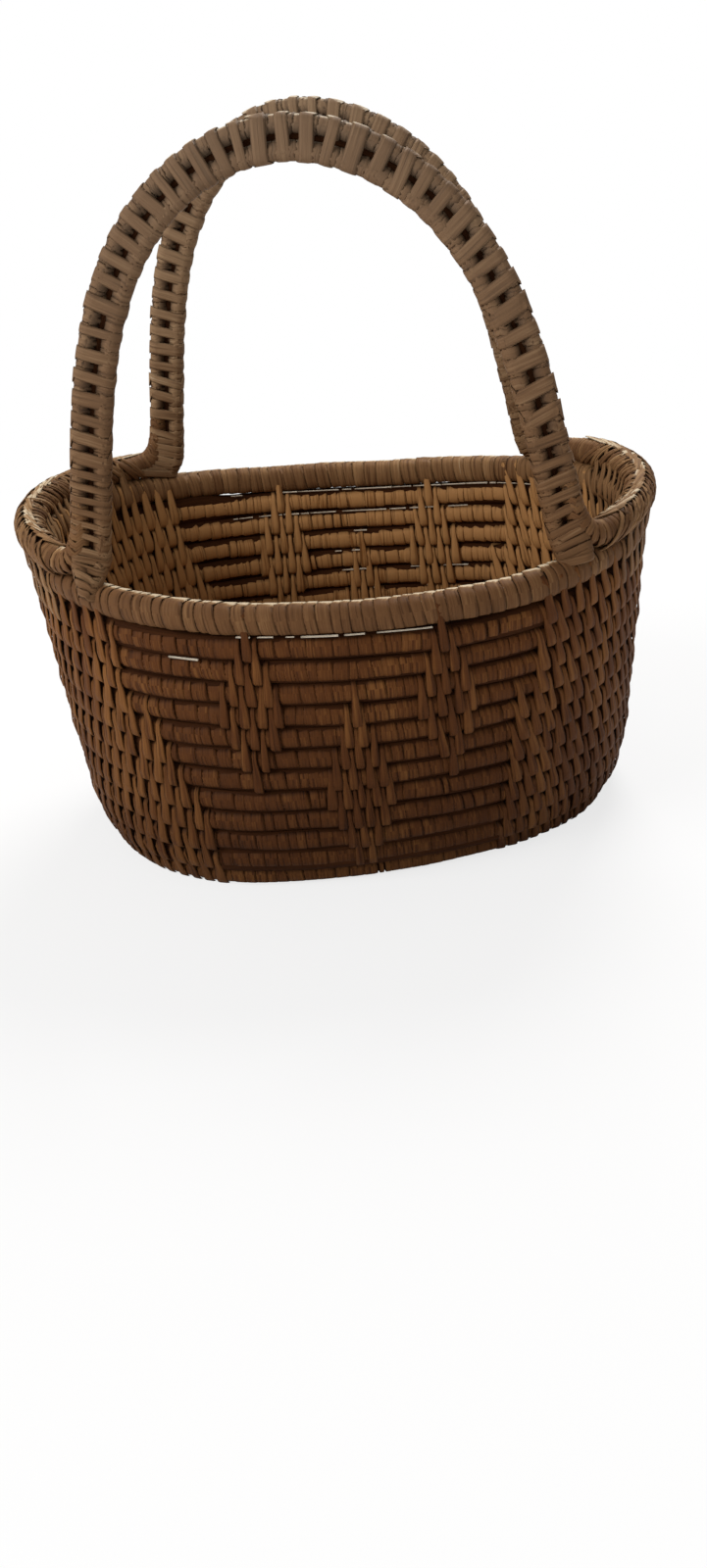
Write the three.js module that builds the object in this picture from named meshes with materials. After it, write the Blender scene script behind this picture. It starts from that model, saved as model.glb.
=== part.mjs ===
// A coiled grass basket: an oval bowl of one long grass coil, with two arched handles.
// Millimetres, +Z up, +X along the basket, the origin on the floor under the middle.
import * as THREE from 'three';

// Driving dimensions of the bowl
const rimLength = 276.4;
const rimWidth = 200.8;
const baseLength = 258;
const baseWidth = 175.3;
const baseCurve = 6.2;
const coilPitch = 11.3;
const coilWidth = 10.8;
const turnGap = 0.55;
const wallTurns = 11;
const sheer = 9.4;
const baseTwistDegrees = 13.5;
const baseShiftRight = 5;
const baseShiftBack = 2.9;
const rimThickness = 12;
const endRimThickness = 11.5;
const endRimOverhang = 2.9;

// Driving dimensions of the handles: the distances of the feet to the left and right of the
// middle, the height of the apex and how far it is from the middle across the basket
const frontHandleLeft = 101.6;
const frontHandleRight = 103;
const frontHandleHeight = 316;
const frontHandleReach = 60.6;
const frontHandleLean = -7;
const rearHandleLeft = 91;
const rearHandleRight = 101;
const rearHandleHeight = 314.6;
const rearHandleReach = 72.6;
const rearHandleLean = -8.6;
const handleSpread = 16.4;
const crownRoundness = 1.86;
const legRoundness = 3.54;
const handleCoil = 6.6;
const spliceLength = 34;
const riserStraight = 10;
const riserReach = 24;
const rearRightRiserReach = 42;
const riserFullness = 0.62;

// Driving dimensions of the flat strips
const stripThickness = 0.5;
const bindingWidth = 6.4;
const bindingLoops = 24;
const bindingCornerDegrees = 54;
const crossingSlope = 1.08;
const lashingWidth = 4.2;
const lashingLoops = 4;
const lashingPitch = 5;
const wrappingWidth = 4.6;
const wrappingLoops = 13;

// Clearances between pieces that touch on the real basket
const clearance = 0.25;
const footRoom = 2.2;
const buttGap = 0.3;
const wrappingClearance = 0.7;
const bindingClearance = 0.45;

// How the coil steps up and how finely it is drawn
const stepShare = 0.2;
const tailShare = 0.42 * stepShare;
const coreStart = 0.15;
const rollRoom = 2.5;
const innerRoundness = 5;
const baseRoundness = 1.56;
const curvedRows = 3.3;
const rimRoundness = 2;
const baseSteps = 24;
const wallSteps = 32;
const handleSteps = 32;
const riserSteps = 6;
const outlineTableSteps = 720;
const archTableSteps = 2000;
const tangentShare = 0.003;

// Values that follow from the driving dimensions
const up = new THREE.Vector3(0, 0, 1);
const fullTurn = 2 * Math.PI;
const degrees = Math.PI / 180;
const floorLength = baseLength - 2 * baseCurve;
const floorWidth = baseWidth - 2 * baseCurve;
const baseTurns = Math.round(floorWidth / 2 / coilPitch);
const basePitch = floorWidth / 2 / baseTurns;
const coilHeight = coilPitch - turnGap;
const levels = wallTurns + 1;
const stripRoom = stripThickness + wrappingClearance + 2 * clearance;
const rimLevel = wallTurns * coilPitch + coilHeight + stripRoom + rimThickness / 2;
const octagonCorner = 1 / Math.cos(Math.PI / 8);
const handleCorner = handleCoil / 2 * octagonCorner;
const coilSpacing = 2 * (handleCorner + stripThickness / 2 + bindingClearance) * crossingSlope;

function mix(a, b, share) {
  return a + (b - a) * share;
}

function smooth(share) {
  const t = Math.min(1, Math.max(0, share));
  return t * t * (3 - 2 * t);
}

// The plan outline: two round ends joined by sides that are nearly straight
function outline(length, width, roundness, angle) {
  const reach = (length - width) / 2;
  const along = Math.tanh(roundness * Math.cos(angle)) / Math.tanh(roundness);
  return [reach * along + width / 2 * Math.cos(angle), width / 2 * Math.sin(angle)];
}

// The plan angle at a share of the way round, clockwise from the left end
const outlineTable = (() => {
  const table = [[0, Math.PI]];
  let travelled = 0;
  let last = outline(rimLength, rimWidth, rimRoundness, Math.PI);
  for (let i = 1; i <= outlineTableSteps; i++) {
    const angle = Math.PI - fullTurn * i / outlineTableSteps;
    const point = outline(rimLength, rimWidth, rimRoundness, angle);
    travelled += Math.hypot(point[0] - last[0], point[1] - last[1]);
    table.push([travelled, angle]);
    last = point;
  }
  return table.map(([length, angle]) => [length / travelled, angle]);
})();

const rimPerimeter = 2 * Math.PI * rimWidth / 2 + 2 * (rimLength - rimWidth);

function angleAt(share) {
  const turns = Math.floor(share);
  const part = share - turns;
  const i = Math.max(1, outlineTable.findIndex(([length]) => length >= part));
  const [s0, a0] = outlineTable[i - 1];
  const [s1, a1] = outlineTable[i];
  return mix(a0, a1, (part - s0) / (s1 - s0)) - fullTurn * turns;
}

function shareAt(angle) {
  const i = Math.max(1, outlineTable.findIndex(([, a]) => a <= angle));
  const [s0, a0] = outlineTable[i - 1];
  const [s1, a1] = outlineTable[i];
  return mix(s0, s1, (a0 - angle) / (a0 - a1));
}

// The height that the sheer of the basket adds: the ends stand higher than the middle
function sheerAt(rise, x, length) {
  return sheer * rise * ((2 * x / length) ** 2 - 0.5);
}

// A point of the bowl at a level of the wall, 0 at the base and `levels` at the rim
function bowlPoint(length, width, roundness, angle, level, height) {
  const rise = level / levels;
  const [x, y] = outline(length, width, roundness, angle);
  const twist = baseTwistDegrees * degrees * (1 - rise);
  return new THREE.Vector3(
    x * Math.cos(twist) - y * Math.sin(twist) + baseShiftRight * (1 - rise),
    x * Math.sin(twist) + y * Math.cos(twist) + baseShiftBack * (1 - rise),
    height + sheerAt(rise, x, length),
  );
}

// The centre of the one long coil: a flat spiral that steps up and climbs the wall row by row.
// In the first part of each turn it moves one row on, and it lies level for the rest. The lowest
// rows are drawn in to the floor.
function coilPoint(turns) {
  const whole = Math.floor(turns);
  const share = turns - whole;
  const angle = angleAt(share);
  const step = smooth(share / stepShare);
  if (turns <= baseTurns) {
    const grown = whole + mix(share, step, turns / baseTurns);
    const width = 2 * basePitch * grown;
    const roundness = mix(innerRoundness, baseRoundness, turns / baseTurns);
    return bowlPoint(floorLength - floorWidth + width, width, roundness, angle, 0, coilHeight / 2);
  }
  const climb = Math.sqrt(1 - (1 - step) ** 2);
  const tail = whole - baseTurns >= wallTurns ? 0.5 : 1;
  const level = whole - baseTurns + climb * tail;
  const rise = level / levels;
  const roll = whole === baseTurns ? Math.sin(Math.PI * step) * 2 * rollRoom : 0;
  const wider = roll - 2 * baseCurve * Math.max(0, 1 - level / curvedRows) ** 3;
  return bowlPoint(mix(baseLength, rimLength, rise) + wider, mix(baseWidth, rimWidth, rise) + wider,
    mix(baseRoundness, rimRoundness, rise), angle, level, coilHeight / 2 + level * coilPitch);
}

// The height of the coil: rows are lower in the middle, and the tail thins to lie under the rim
function coilHeightAt(turns, x) {
  if (turns <= baseTurns) return coilHeight;
  const beyond = Math.max(0, turns - baseTurns - wallTurns);
  const step = smooth(beyond / stepShare);
  const thinning = 1 - Math.sqrt(1 - (1 - step) ** 2);
  const row = coilHeight + sheerAt(1 / levels, x, rimLength);
  return beyond > 0 ? row * thinning : row;
}

// Centre lines of the rim and of the end rims on it, by the share of the way round
function rimPoint(share) {
  return bowlPoint(rimLength, rimWidth, rimRoundness, angleAt(share), levels, rimLevel);
}

function endRimPoint(share) {
  const grow = 2 * endRimOverhang;
  const [x, y] = outline(rimLength + grow, rimWidth + grow, rimRoundness, angleAt(share));
  const height = rimPoint(share).z + rimThickness / 2 + clearance + endRimThickness / 2;
  return new THREE.Vector3(x, y, height);
}

// A point on the straight chord between two drawn places of such a line, and the way out of it
function onChord(pointAt, share) {
  const place = Math.floor(share * wallSteps);
  const [from, to] = [pointAt(place / wallSteps), pointAt((place + 1) / wallSteps)];
  const out = to.clone().sub(from).cross(up).setZ(0).normalize().negate();
  return { centre: from.lerp(to, share * wallSteps - place), out };
}

// A section with six sides, flat above and below, so that the rows lie flat on each other
function hexagon(width, height) {
  const [w, h] = [width / 2, height / 2];
  const flat = 0.42 * w;
  return [[w, 0], [flat, h], [-flat, h], [-w, 0], [-flat, -h], [flat, -h]];
}

// A section with eight sides, as thick as its flats are apart
function octagon(thickness) {
  const radius = thickness / 2 * octagonCorner;
  return Array.from({ length: 8 }, (_, i) => {
    const angle = Math.PI / 8 + i * Math.PI / 4;
    return [radius * Math.cos(angle), radius * Math.sin(angle)];
  });
}

// The rings of a tube: the section at each point stands square to the path, with its first
// axis towards the side vector given there
function ringsAlong(points, sideAt, sectionAt) {
  return points.map((point, i) => {
    const before = points[Math.max(0, i - 1)];
    const after = points[Math.min(points.length - 1, i + 1)];
    const tangent = after.clone().sub(before).normalize();
    const side = sideAt(i).clone().addScaledVector(tangent, -sideAt(i).dot(tangent)).normalize();
    const other = side.clone().cross(tangent).normalize();
    return sectionAt(i).map(([a, b]) => point.clone().addScaledVector(side, a).addScaledVector(other, b));
  });
}

// One closed body through a row of rings, with flat ends and its faces pointing out. Opposite
// sides are split along the same diagonal, so a flat strip keeps its thickness where it twists.
function sweep(rings) {
  const sides = rings[0].length;
  const positions = rings.flat().flatMap((p) => [p.x, p.y, p.z]);
  const triangles = [];
  for (let i = 0; i + 1 < rings.length; i++) {
    for (let j = 0; j < sides; j++) {
      const [a, b] = [i * sides + j, i * sides + (j + 1) % sides];
      if (j < sides / 2) triangles.push([a, b, a + sides], [b, b + sides, a + sides]);
      else triangles.push([a, b, b + sides], [a, b + sides, a + sides]);
    }
  }
  const lastRing = (rings.length - 1) * sides;
  for (let j = 1; j + 1 < sides; j++) {
    triangles.push([0, j + 1, j], [lastRing, lastRing + j, lastRing + j + 1]);
  }
  const corner = (i) => new THREE.Vector3().fromArray(positions, 3 * i);
  const volume = triangles.reduce((sum, [a, b, c]) => sum + corner(a).dot(corner(b).cross(corner(c))), 0);
  const index = triangles.flatMap(([a, b, c]) => (volume > 0 ? [a, b, c] : [a, c, b]));
  const geometry = new THREE.BufferGeometry();
  geometry.setAttribute('position', new THREE.Float32BufferAttribute(positions, 3));
  geometry.setIndex(index);
  geometry.computeVertexNormals();
  return geometry;
}

// The least distance between points of a tube that are at least `apart` rings from each other,
// taken on the corners of the rings and the middles of the edges that join them
function leastGapToItself(rings, apart) {
  const samples = [];
  rings.forEach((ring, i) => ring.forEach((corner, j) => {
    samples.push([i, corner]);
    if (i + 1 < rings.length) samples.push([i, corner.clone().add(rings[i + 1][j]).multiplyScalar(0.5)]);
  }));
  let least = Infinity;
  for (let i = 0; i < samples.length; i++) {
    for (let j = i + 1; j < samples.length; j++) {
      if (samples[j][0] - samples[i][0] < apart) continue;
      least = Math.min(least, samples[i][1].distanceToSquared(samples[j][1]));
    }
  }
  return Math.sqrt(least);
}

function printGap(name, rings, apart) {
  console.log(`${name}: least gap to itself ${leastGapToItself(rings, apart).toFixed(2)} mm`);
}

// The rings of a coil that lies nearly level: each stands upright, square to the path in plan,
// so the height of its section is measured straight up
function uprightRings(pointAt, places, sectionAt) {
  const near = 0.001;
  return places.map((place) => {
    const point = pointAt(place);
    const side = pointAt(place + near).sub(pointAt(place - near)).cross(up).setZ(0).normalize();
    return sectionAt(place, point.x).map(([a, b]) => point.clone().addScaledVector(side, a).addScaledVector(up, b));
  });
}

const basket = new THREE.Group();

function addPiece(name, geometry, colour) {
  const material = new THREE.MeshStandardMaterial({ color: colour, roughness: 0.75, metalness: 0 });
  const mesh = new THREE.Mesh(geometry, material);
  mesh.name = name;
  basket.add(mesh);
}

// Base and wall: the two lengths of the coil, butted where the coil leaves the floor
function addCoil(name, from, to, stepsPerTurn, sectionAt, colour) {
  const count = Math.ceil((to - from) * stepsPerTurn);
  const turnsAt = Array.from({ length: count + 1 }, (_, i) => mix(from, to, i / count));
  const rings = uprightRings(coilPoint, turnsAt, sectionAt);
  printGap(name, rings, Math.floor(stepsPerTurn / 2));
  addPiece(name, sweep(rings), colour);
}

const basePerimeter = Math.PI * floorWidth + 2 * (floorLength - floorWidth);
const halfButt = buttGap / 2 / basePerimeter;
const baseCoilWidth = basePitch - turnGap - clearance;
addCoil('base_coil', coreStart, baseTurns - halfButt, baseSteps,
  () => hexagon(baseCoilWidth, coilHeight), 0x6b472b);
addCoil('wall_coil', baseTurns + halfButt, baseTurns + wallTurns + tailShare, wallSteps,
  (turns, x) => hexagon(coilWidth, coilHeightAt(turns, x)), 0x6d482c);

// Rim: one level turn on the top row, its ends butted at the left end
const rimShares = Array.from({ length: wallSteps + 1 }, (_, i) => mix(halfButt, 1 - halfButt, i / wallSteps));
addPiece('rim_coil', sweep(uprightRings(rimPoint, rimShares,
  () => octagon(rimThickness))), 0x86633f);

// The foot of a handle on the rim, at a distance along the basket from its middle. From the end's
// middle the end rim lies level for a share of the way round, and then rises to the handle.
function footAt(x, riserLength = riserReach) {
  let [low, high] = [0, Math.PI / 2];
  for (let i = 0; i < 40; i++) {
    const middle = (low + high) / 2;
    if (outline(rimLength, rimWidth, rimRoundness, middle)[0] > x) low = middle;
    else high = middle;
  }
  const height = rimLevel + sheerAt(1, x, rimLength) + rimThickness / 2 + footRoom;
  return { x, y: rimWidth / 2 * Math.sin(low), height, levelShare: 0.5 - shareAt(low) - riserLength / rimPerimeter };
}

// The arch of a handle: nearly an ellipse, whose legs spread to the feet. It lies in the plane
// through both feet and the apex and is drawn as straight chords of equal length.
function archCurve(side, left, right, top, reach, lean) {
  const leftFoot = new THREE.Vector3(-left.x, side * left.y, left.height);
  const rightFoot = new THREE.Vector3(right.x, side * right.y, right.height);
  const apex = new THREE.Vector3(lean, side * reach, top);
  const plane = apex.clone().sub(leftFoot).cross(rightFoot.clone().sub(leftFoot)).normalize();
  const points = Array.from({ length: archTableSteps + 1 }, (_, i) => {
    const angle = Math.PI * i / archTableSteps;
    const across = -Math.sign(Math.cos(angle)) * Math.abs(Math.cos(angle)) ** (2 / crownRoundness);
    const rise = Math.sin(angle) ** (2 / legRoundness);
    const spread = handleSpread * ((1 - rise) ** 2 - 1);
    const x = across * ((across < 0 ? left.x : right.x) + spread) + lean * rise;
    const z = mix(mix(left.height, right.height, (1 + across) / 2), top, rise);
    return new THREE.Vector3(x, leftFoot.y - (plane.x * (x - leftFoot.x) + plane.z * (z - leftFoot.z)) / plane.y, z);
  });
  const lengths = [0];
  for (let i = 1; i <= archTableSteps; i++) {
    lengths.push(lengths[i - 1] + points[i].distanceTo(points[i - 1]));
  }
  const length = lengths[archTableSteps];
  const stations = Array.from({ length: handleSteps + 1 }, (_, k) => {
    const wanted = length * k / handleSteps;
    return points[Math.max(0, lengths.findIndex((l) => l >= wanted - 1e-6))];
  });
  const outs = stations.map((_, k) => {
    const along = stations[Math.min(handleSteps, k + 1)].clone().sub(stations[Math.max(0, k - 1)]).normalize();
    return along.cross(plane);
  });
  return { stations, outs, plane, length, feet: [left, right] };
}

// A point of the arch at a length along it, moved outwards in its plane and across it
function archPoint(arch, length, outer, across) {
  const place = Math.min(handleSteps - 1, Math.max(0, Math.floor(length / arch.length * handleSteps)));
  const moved = (k) => arch.stations[k].clone().addScaledVector(arch.outs[k], outer)
    .addScaledVector(arch.plane, across);
  return moved(place).lerp(moved(place + 1), length / arch.length * handleSteps - place);
}

const arches = {
  front: archCurve(-1, footAt(frontHandleLeft), footAt(frontHandleRight),
    frontHandleHeight, frontHandleReach, frontHandleLean),
  rear: archCurve(1, footAt(rearHandleLeft), footAt(rearHandleRight, rearRightRiserReach),
    rearHandleHeight, rearHandleReach, rearHandleLean),
};

// Lengths along an arch at which its coils turn, between two ends
function turningLengths(arch, from, to) {
  const least = arch.length / handleSteps / 10;
  const inside = arch.stations.map((_, k) => arch.length * k / handleSteps)
    .filter((length) => length > from + least && length < to - least);
  return [from, ...inside, to];
}

// Handle coils: the outer one is spliced to the raised end rims, the inner one stands on the rim
function addHandleCoils(name, arch) {
  const tube = (from, to, outer) => {
    const points = turningLengths(arch, from, to).map((length) => archPoint(arch, length, outer, 0));
    return sweep(ringsAlong(points, () => arch.plane, () => octagon(handleCoil)));
  };
  const outerEnd = spliceLength + buttGap;
  addPiece(`${name}_handle_outer_coil`, tube(outerEnd, arch.length - outerEnd, coilSpacing / 2), 0x8a6a48);
  addPiece(`${name}_handle_inner_coil`, tube(0, arch.length, -coilSpacing / 2), 0x836342);
}

// A flat strip through path points, each with the direction that its face looks to
function stripRings(path, width) {
  return path.map(({ point, face }, i) => {
    const before = path[Math.max(0, i - 1)].point;
    const after = path[Math.min(path.length - 1, i + 1)].point;
    const tangent = after.clone().sub(before).normalize();
    const normal = face.clone().addScaledVector(tangent, -face.dot(tangent)).normalize();
    const wide = tangent.cross(normal).normalize();
    const corner = (a, b) => point.clone().addScaledVector(wide, a * width / 2)
      .addScaledVector(normal, b * stripThickness / 2);
    return [corner(1, 1), corner(1, -1), corner(-1, -1), corner(-1, 1)];
  });
}

function addStrip(name, path, width, pointsPerLoop, colour) {
  const rings = stripRings(path, width);
  printGap(name, rings, Math.floor(pointsPerLoop / 3));
  addPiece(name, sweep(rings), colour);
}

// Binding: a strip that winds in a figure of eight round the two coils of a handle.
// It goes round the outer coil one way, through the gap, and round the inner coil the other way.
function addBinding(name, arch) {
  const turn = bindingCornerDegrees * degrees;
  const corners = [-2.5, -1.5, -0.5, 0.5, 1.5, 2.5].map((i) => i * turn);
  const radius = (handleCorner + stripThickness / 2 + bindingClearance) / Math.cos(turn / 2);
  const from = spliceLength + lashingLoops * lashingPitch / 2 + lashingPitch;
  const loopPitch = (arch.length - 2 * from) / bindingLoops;
  const path = [];
  for (let loop = 0; loop < bindingLoops; loop++) {
    for (const side of [1, -1]) {
      corners.forEach((angle, i) => {
        const share = loop + (side > 0 ? 0 : 0.5) + i / corners.length / 2;
        const length = from + share * loopPitch;
        const outer = side * (coilSpacing / 2 + radius * Math.cos(angle));
        const centre = archPoint(arch, length, side * coilSpacing / 2, 0);
        const point = archPoint(arch, length, outer, radius * Math.sin(angle));
        path.push({ point, face: point.clone().sub(centre).multiplyScalar(side) });
      });
    }
  }
  addStrip(`${name}_handle_binding`, path, bindingWidth, 2 * corners.length, 0x9a7c58);
}

// Lashing: plain turns round both coils over the splice at a foot
function addLashing(name, arch, start) {
  const corners = [-67.5, -22.5, 22.5, 67.5].map((angle) => angle * degrees);
  const radius = (handleCoil / 2 + stripThickness / 2 + bindingClearance) * octagonCorner;
  const path = [];
  for (let loop = 0; loop < lashingLoops; loop++) {
    for (const side of [1, -1]) {
      corners.forEach((angle, i) => {
        const share = loop + (side > 0 ? 0 : 0.5) + i / corners.length / 2;
        const length = start + share * lashingPitch;
        const centre = archPoint(arch, length, side * coilSpacing / 2, 0);
        const point = archPoint(arch, length, side * (coilSpacing / 2 + radius * Math.cos(angle)),
          side * radius * Math.sin(angle));
        path.push({ point, face: point.clone().sub(centre) });
      });
    }
  }
  addStrip(name, path, lashingWidth, 2 * corners.length, 0x93744f);
}

for (const [name, arch] of Object.entries(arches)) {
  addHandleCoils(name, arch);
  addBinding(name, arch);
  const run = lashingLoops * lashingPitch;
  addLashing(`foot_lashing_${name}_left`, arch, spliceLength - run / 2);
  addLashing(`foot_lashing_${name}_right`, arch, arch.length - spliceLength - run / 2);
}

// End rim: a second coil on the rim round one end, which bends up at both feet into the handles.
// Its middle is at a share of the way round: 0 is the left end and 0.5 is the right end.
function addEndRim(name, middle) {
  const atLeft = middle === 0;
  const levelTo = (arch) => arch.feet[atLeft ? 0 : 1].levelShare;
  const riser = (arch, sign) => {
    const lengthAt = (length) => (atLeft ? length : arch.length - length);
    const top = archPoint(arch, lengthAt(spliceLength - buttGap), coilSpacing / 2, 0);
    const low = archPoint(arch, lengthAt(spliceLength - riserStraight), coilSpacing / 2, 0);
    const landing = endRimPoint(middle + sign * levelTo(arch));
    const ahead = endRimPoint(middle + sign * (levelTo(arch) - tangentShare)).sub(landing).normalize();
    const rising = top.clone().sub(low).normalize();
    const reach = riserFullness * low.distanceTo(landing);
    const curve = new THREE.CubicBezierCurve3(low, low.clone().addScaledVector(rising, -reach),
      landing.clone().addScaledVector(ahead, -reach), landing);
    return [top, ...curve.getSpacedPoints(riserSteps)];
  };
  const [before, after] = atLeft ? [arches.front, arches.rear] : [arches.rear, arches.front];
  const [first, last] = [before, after].map((arch) => Math.ceil(levelTo(arch) * wallSteps) - 1);
  const level = Array.from({ length: first + last + 1 }, (_, i) => endRimPoint(middle + (i - first) / wallSteps));
  const points = [...riser(before, -1), ...level, ...riser(after, 1).reverse()];
  const thicknessAt = (i) => mix(handleCoil, endRimThickness,
    smooth((Math.min(i, points.length - 1 - i) - 1) / riserSteps));
  const roundMiddle = (rimLength - rimWidth) / 2 * (atLeft ? -1 : 1);
  const sideAt = (i) => new THREE.Vector3(points[i].x - roundMiddle, points[i].y, 0);
  addPiece(`${name}_end_rim`, sweep(ringsAlong(points, sideAt, (i) => octagon(thicknessAt(i)))), 0x8f6f4b);
  addEndWrapping(name, middle - levelTo(before), middle + levelTo(after));
}

// Wrapping: a strip wound slantwise round the end rim and the rim under it
function addEndWrapping(name, from, to) {
  const corners = [-67.5, -22.5, 22.5, 67.5, 112.5].map((angle) => angle * degrees);
  const path = [];
  for (let loop = 0; loop < wrappingLoops; loop++) {
    for (const level of [1, -1]) {
      const [pointAt, thickness] = level > 0 ? [endRimPoint, endRimThickness] : [rimPoint, rimThickness];
      const radius = (thickness / 2 + stripThickness / 2 + wrappingClearance) * octagonCorner;
      corners.forEach((corner, i) => {
        const turn = loop + (level > 0 ? 0 : 0.5) + i / corners.length / 2;
        const { centre, out } = onChord(pointAt, mix(from, to, turn / wrappingLoops));
        const face = up.clone().multiplyScalar(level * Math.cos(corner))
          .addScaledVector(out, level * Math.sin(corner));
        path.push({ point: centre.addScaledVector(face, radius), face });
      });
    }
  }
  addStrip(`${name}_end_wrapping`, path, wrappingWidth, 2 * corners.length, 0x9b7f5c);
}

addEndRim('left', 0);
addEndRim('right', 0.5);

export default basket;
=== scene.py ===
import bpy
import numpy as np
from mathutils import Matrix, Vector


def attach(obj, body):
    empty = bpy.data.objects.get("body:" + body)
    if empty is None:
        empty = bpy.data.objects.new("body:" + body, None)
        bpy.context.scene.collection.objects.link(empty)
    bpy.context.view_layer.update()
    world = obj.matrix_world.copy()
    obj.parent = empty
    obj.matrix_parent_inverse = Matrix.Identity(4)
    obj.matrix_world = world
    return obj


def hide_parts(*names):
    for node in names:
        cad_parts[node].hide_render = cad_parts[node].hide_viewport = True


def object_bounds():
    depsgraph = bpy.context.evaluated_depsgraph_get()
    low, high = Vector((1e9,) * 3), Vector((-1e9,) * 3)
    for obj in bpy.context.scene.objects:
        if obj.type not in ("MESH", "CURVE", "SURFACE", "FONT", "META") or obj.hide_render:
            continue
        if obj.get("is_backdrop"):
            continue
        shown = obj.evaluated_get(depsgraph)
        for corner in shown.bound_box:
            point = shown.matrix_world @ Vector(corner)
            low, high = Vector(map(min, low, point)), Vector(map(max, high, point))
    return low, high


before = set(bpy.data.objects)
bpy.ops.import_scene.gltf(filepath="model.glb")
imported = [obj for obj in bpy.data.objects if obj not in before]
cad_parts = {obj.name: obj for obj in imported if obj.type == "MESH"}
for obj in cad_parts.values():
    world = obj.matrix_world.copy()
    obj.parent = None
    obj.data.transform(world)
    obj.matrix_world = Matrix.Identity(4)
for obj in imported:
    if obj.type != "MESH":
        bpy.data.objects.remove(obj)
packed_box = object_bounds()

# Sizes of the basket in millimetres, as in the CAD source
RIM_LENGTH, RIM_WIDTH = 276.4, 200.8
BASE_LENGTH, BASE_WIDTH, BASE_CURVE = 258, 175.3, 6.2
FLOOR_LENGTH, FLOOR_WIDTH = BASE_LENGTH - 2 * BASE_CURVE, BASE_WIDTH - 2 * BASE_CURVE
COIL_PITCH, COIL_HEIGHT, COIL_WIDTH = 11.3, 10.75, 10.8
BASE_TURNS, WALL_TURNS, LEVELS = 7, 11, 12
LAST_TURN = BASE_TURNS + WALL_TURNS
BASE_PITCH = FLOOR_WIDTH / 2 / BASE_TURNS
CORE_START, STEP_SHARE, CURVED_ROWS = 0.15, 0.2, 3.3
SHEER, BASE_TWIST, ROLL_ROOM = 9.4, np.radians(13.5), 2.5
BASE_SHIFT = np.array([5, 2.9])
INNER_ROUNDNESS, BASE_ROUNDNESS, RIM_ROUNDNESS = 5, 1.56, 2
RIM_THICKNESS, RIM_LEVEL = 12, 142.75
END_RIM_THICKNESS, END_RIM_OVERHANG = 11.5, 2.9
HANDLE_SPREAD, CROWN_ROUNDNESS, LEG_ROUNDNESS = 16.4, 1.86, 3.54
HANDLE_COIL, HANDLE_SPACING = 6.6, 9.23
SPLICE, RISER_STRAIGHT, RISER_FULLNESS, TANGENT_SHARE = 34, 10, 0.62, 0.003
CLEARANCE, FOOT_ROOM = 0.25, 2.2
UP = np.array([0.0, 0.0, 1.0])
MM = 0.001


def mix(a, b, share):
    return a + (b - a) * share


def smooth(share):
    share = np.clip(share, 0, 1)
    return share * share * (3 - 2 * share)


def flatten(value, square):
    """A cosine or sine raised to a power. One below 1 squares a round section."""
    return np.sign(value) * np.abs(value) ** square


def unit(vectors):
    return vectors / np.linalg.norm(vectors, axis=-1, keepdims=True)


def square_to(along, vectors):
    """The part of vectors that is square to a direction, as unit vectors."""
    return unit(vectors - along * (vectors * along).sum(-1, keepdims=True))


def run_along(points):
    """The length of a line up to each of its points."""
    return np.concatenate([[0], np.cumsum(np.linalg.norm(np.diff(points, axis=0), axis=1))])


def look_up(place, places, rows):
    """Rows of values read between the places that they stand at."""
    return np.stack([np.interp(place, places, column) for column in rows.T], -1)


def ripple(place, seed, period, amount):
    """A slow wave along a strand: the mean of five sines whose periods lie round `period`."""
    chance = np.random.default_rng(seed)
    periods, phases = period * chance.uniform(0.6, 1.8, 5), chance.uniform(0, 2 * np.pi, 5)
    return amount * np.sin(2 * np.pi * np.asarray(place)[..., None] / periods + phases).mean(-1)


# The bowl's coil


def outline(length, width, roundness, angle):
    """Plan outline: a circle, its halves drawn apart along x by tanh of the cosine."""
    along = np.tanh(roundness * np.cos(angle)) / np.tanh(roundness)
    return (length - width) / 2 * along + width / 2 * np.cos(angle), width / 2 * np.sin(angle)


def rim_outline(angle):
    return np.stack(outline(RIM_LENGTH, RIM_WIDTH, RIM_ROUNDNESS, angle), -1)


TABLE_TURN = np.linspace(0, 2 * np.pi, 1441)
TABLE_LENGTH = run_along(rim_outline(np.pi - TABLE_TURN))
RIM_PERIMETER = TABLE_LENGTH[-1]


def angle_at(share):
    """The plan angle at a share of the way round, clockwise from the left end."""
    whole = np.floor(share)
    part = (share - whole) * RIM_PERIMETER
    return np.pi - np.interp(part, TABLE_LENGTH, TABLE_TURN) - 2 * np.pi * whole


def sheer_at(rise, x, length):
    """How much higher the ends of a row are than its middle: a parabola, full at the rim."""
    return SHEER * rise * ((2 * x / length) ** 2 - 0.5)


def bowl_point(length, width, roundness, angle, level, height):
    """A point of an outline that turns and widens from the base to the rim, with the sheer."""
    rise = level / LEVELS
    x, y = outline(length, width, roundness, angle)
    twist = BASE_TWIST * (1 - rise)
    across, back = BASE_SHIFT
    return np.stack([x * np.cos(twist) - y * np.sin(twist) + across * (1 - rise),
                     x * np.sin(twist) + y * np.cos(twist) + back * (1 - rise),
                     height + sheer_at(rise, x, length)], -1)


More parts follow.
